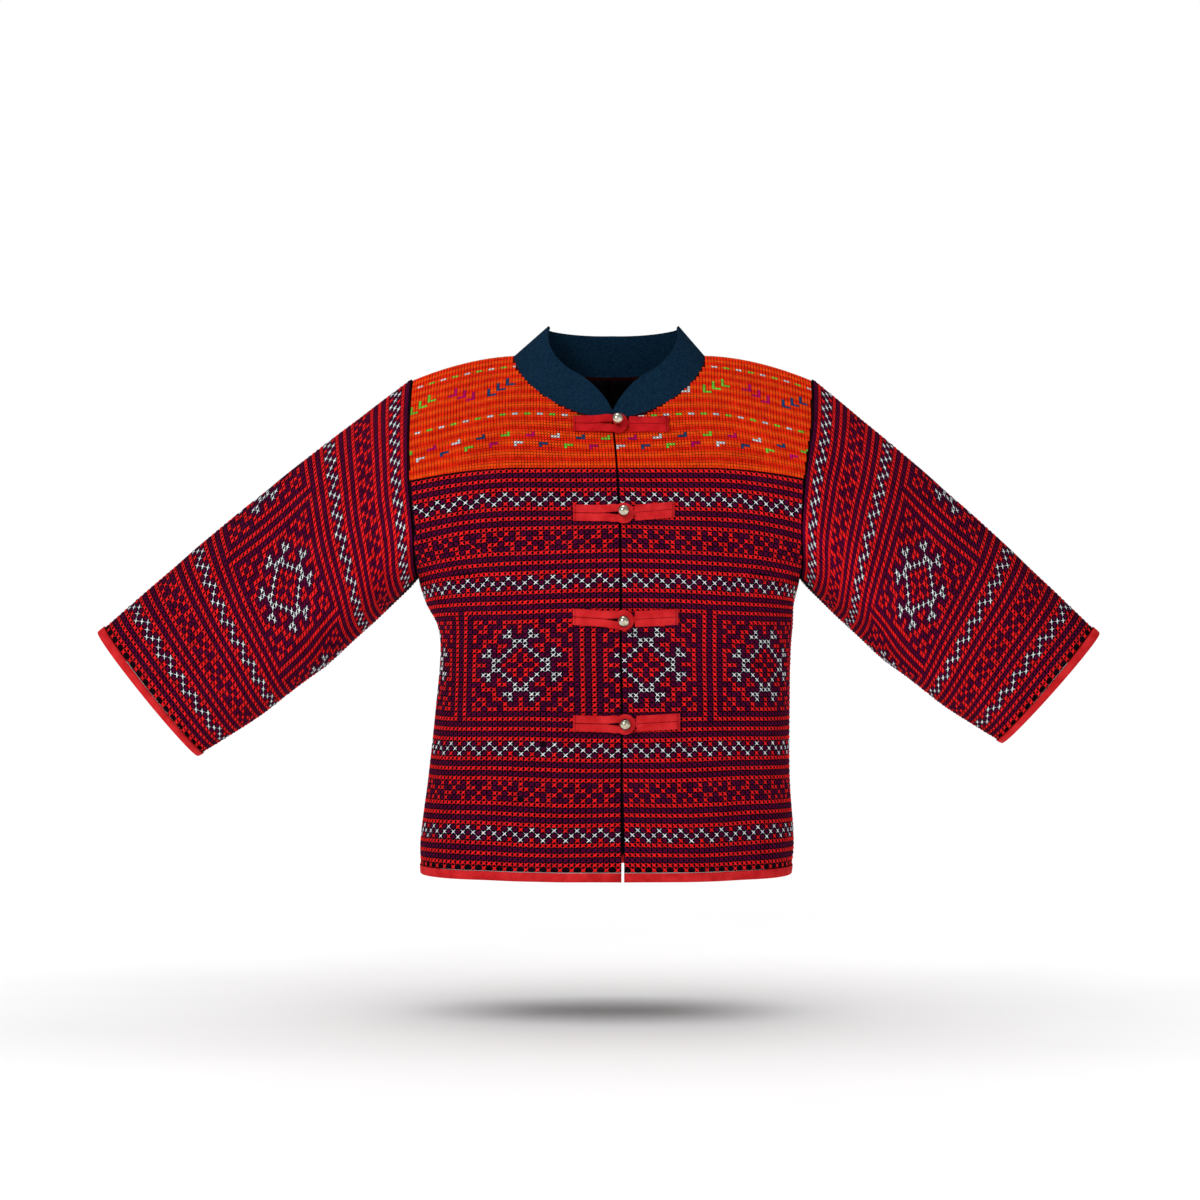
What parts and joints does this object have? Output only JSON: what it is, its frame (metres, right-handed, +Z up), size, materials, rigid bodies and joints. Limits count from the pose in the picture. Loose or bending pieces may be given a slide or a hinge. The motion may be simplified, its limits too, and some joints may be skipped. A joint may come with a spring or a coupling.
{
  "type": "hmong embroidered jacket",
  "caption": "Short front-opening cross-stitched cotton jacket with an orange yoke, navy stand collar, frog closures and three-quarter sleeves, filled out as worn.",
  "frame": {"origin": "middle of the neck, level with the tops of the shoulders, where the wearer's neck and shoulders hold the jacket", "axes": "+Z up, -Y towards the front of the jacket, +X towards the wearer's left"},
  "size_m": [0.9992, 0.2409, 0.5468],
  "materials": {
    "embroidered_cloth": "black cotton covered with red, plum and white cross stitch",
    "yoke_cloth": "orange cross stitch in rows",
    "lining_cloth": "plain black cotton",
    "navy_cloth": "dull navy cotton",
    "red_binding": "bright red folded cotton strip",
    "red_tape": "red folded tape, stitched lengthwise",
    "button_metal": "polished pale brass"
  },
  "bodies": {
    "root": {"front_right": "embroidered_cloth", "front_left": "embroidered_cloth", "back": "embroidered_cloth", "yoke_front_right": "yoke_cloth", "yoke_front_left": "yoke_cloth", "yoke_back": "yoke_cloth", "lining_right": "lining_cloth", "lining_left": "lining_cloth", "sleeve_right": "embroidered_cloth", "sleeve_left": "embroidered_cloth", "cuff_binding_right": "red_binding", "cuff_binding_left": "red_binding", "hem_binding_front_right": "red_binding", "hem_binding_front_left": "red_binding", "hem_binding_back": "red_binding", "collar": "navy_cloth", "frog_loop_1": "red_tape", "frog_loop_2": "red_tape", "frog_loop_3": "red_tape", "frog_loop_4": "red_tape", "frog_tab_1": "red_tape", "frog_tab_2": "red_tape", "frog_tab_3": "red_tape", "frog_tab_4": "red_tape", "button_1": "button_metal", "button_2": "button_metal", "button_3": "button_metal", "button_4": "button_metal"}
  },
  "joints": []
}
